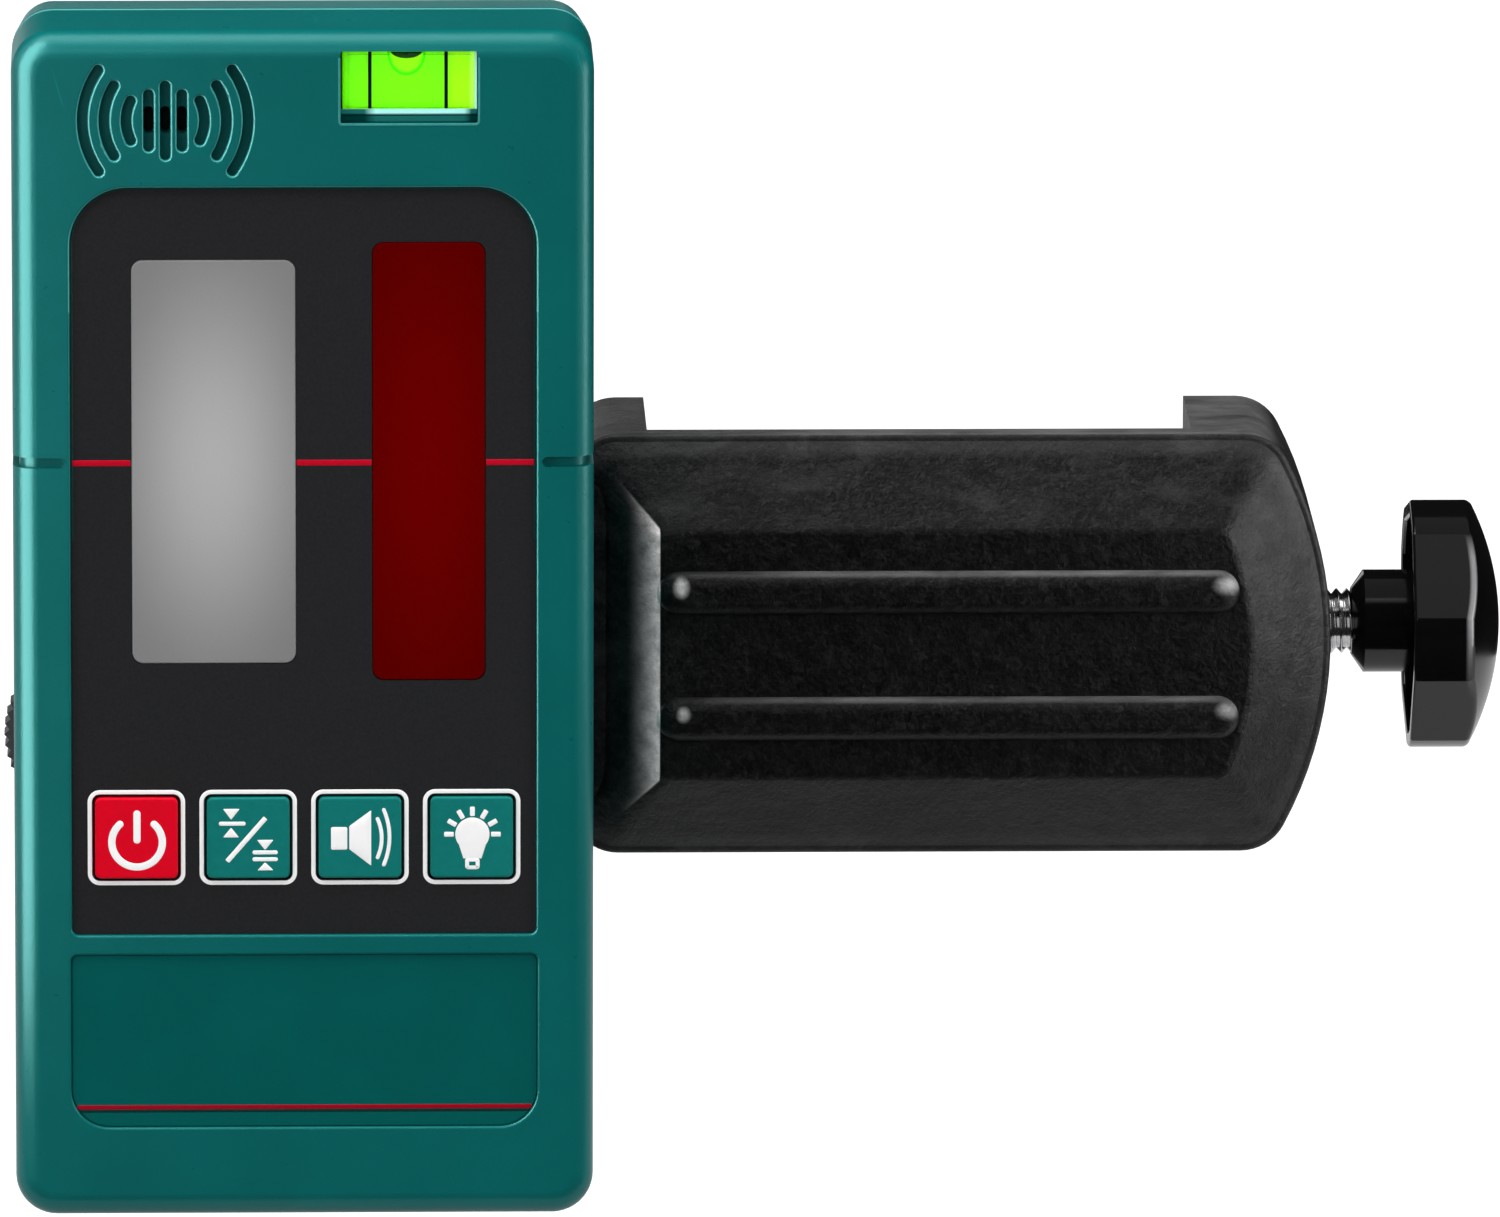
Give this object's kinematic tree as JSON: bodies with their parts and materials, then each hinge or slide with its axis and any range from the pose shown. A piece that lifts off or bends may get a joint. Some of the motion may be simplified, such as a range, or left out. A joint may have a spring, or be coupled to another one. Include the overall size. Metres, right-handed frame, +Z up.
{
  "type": "laser receiver with rod clamp",
  "caption": "Hand-held laser receiver with display, sensor window, vial and buttons, fastened by a thumb screw to a screw clamp that grips a levelling staff.",
  "frame": {"origin": "centre of the receiver's base face", "axes": "+Z up along the receiver, +X to the right towards the clamp knob, +Y to the back, so the display faces -Y"},
  "size_m": [0.1836, 0.0584, 0.146],
  "materials": {
    "case_teal": "fine satin moulded",
    "panel_black": "matt printed film",
    "display_grey": "grey display behind clear acrylic",
    "sensor_red": "dark red filter acrylic",
    "button_red": "satin moulded, white print",
    "button_teal": "satin moulded, white print",
    "plate_teal": "matt film with a red line",
    "seal_rubber": "soft moulded",
    "screw_steel": "zinc plated",
    "board_green": "solder mask",
    "inner_black": "moulded",
    "vial_clear": "polished acrylic",
    "vial_green": "fluorescent liquid",
    "vial_air": "air bubble",
    "insert_brass": "turned",
    "clamp_black": "grained moulded",
    "pad_rubber": "soft moulded",
    "knob_black": "polished phenolic",
    "thread_steel": "bright plated",
    "wheel_black": "knurled moulded",
    "cell_jacket": "jacketed cells",
    "contact_nickel": "nickel plated spring sheet"
  },
  "bodies": {
    "clamp": {"clamp_body": "clamp_black", "fixed_jaw_pad": "pad_rubber", "screw_nut": "thread_steel"},
    "moving_jaw": {"moving_jaw": "clamp_black", "moving_jaw_pad": "pad_rubber", "jaw_retainer": "screw_steel", "retainer_screws": "screw_steel"},
    "clamp_screw": {"clamp_screw": "thread_steel", "clamp_knob": "knob_black"},
    "fixing_screw": {"fixing_wheel": "wheel_black", "fixing_stud": "thread_steel", "stud_clip": "screw_steel"},
    "receiver": {"front_shell": "case_teal", "rear_shell": "case_teal", "case_seal": "seal_rubber", "case_screws": "screw_steel", "front_panel": "panel_black", "lcd_window": "display_grey", "sensor_window": "sensor_red", "name_plate": "plate_teal", "lcd_module": "inner_black", "sensor_board": "board_green", "main_board": "board_green", "tact_switches": "inner_black", "buzzer": "inner_black", "vial_block": "vial_clear", "vial_liquid": "vial_green", "vial_bubble": "vial_air", "mount_insert": "insert_brass", "battery_cells": "cell_jacket", "battery_contacts": "contact_nickel"},
    "battery_door": {"battery_door": "case_teal"},
    "power_button": {"power_button": "button_red"},
    "accuracy_button": {"accuracy_button": "button_teal"},
    "volume_button": {"volume_button": "button_teal"},
    "light_button": {"light_button": "button_teal"}
  },
  "joints": [
    {"name": "jaw_slide", "type": "slide", "parent": "clamp", "child": "moving_jaw", "axis": [1, 0, 0], "range_m": [-0.0025, 0.034]},
    {"name": "clamp_screw_turn", "type": "hinge", "parent": "moving_jaw", "child": "clamp_screw", "pos_m": [0.1, 0.0297, 0.0643], "axis": [1, 0, 0], "range_deg": [-724, 9796]},
    {"name": "receiver_slide", "type": "slide", "parent": "clamp", "child": "receiver", "axis": [0, -1, 0], "range_m": [0, 0.00635]},
    {"name": "fixing_screw_turn", "type": "hinge", "parent": "clamp", "child": "fixing_screw", "pos_m": [-0.0256, 0.018, 0.0525], "axis": [0, 1, 0], "range_deg": [0, 1804]},
    {"name": "battery_door_slide", "type": "slide", "parent": "receiver", "child": "battery_door", "axis": [0, 0, -1], "range_m": [0, 0.036]},
    {"name": "power_press", "type": "slide", "parent": "receiver", "child": "power_button", "axis": [0, 1, 0], "range_m": [0, 0.0008], "stiffness_N_per_m": 2500},
    {"name": "accuracy_press", "type": "slide", "parent": "receiver", "child": "accuracy_button", "axis": [0, 1, 0], "range_m": [0, 0.0008], "stiffness_N_per_m": 2500},
    {"name": "volume_press", "type": "slide", "parent": "receiver", "child": "volume_button", "axis": [0, 1, 0], "range_m": [0, 0.0008], "stiffness_N_per_m": 2500},
    {"name": "light_press", "type": "slide", "parent": "receiver", "child": "light_button", "axis": [0, 1, 0], "range_m": [0, 0.0008], "stiffness_N_per_m": 2500}
  ],
  "couplings": [
    {"joint": "clamp_screw_turn", "follows": "jaw_slide", "rad_per_m": 5026.5},
    {"joint": "fixing_screw_turn", "follows": "receiver_slide", "rad_per_m": 4947.4}
  ]
}
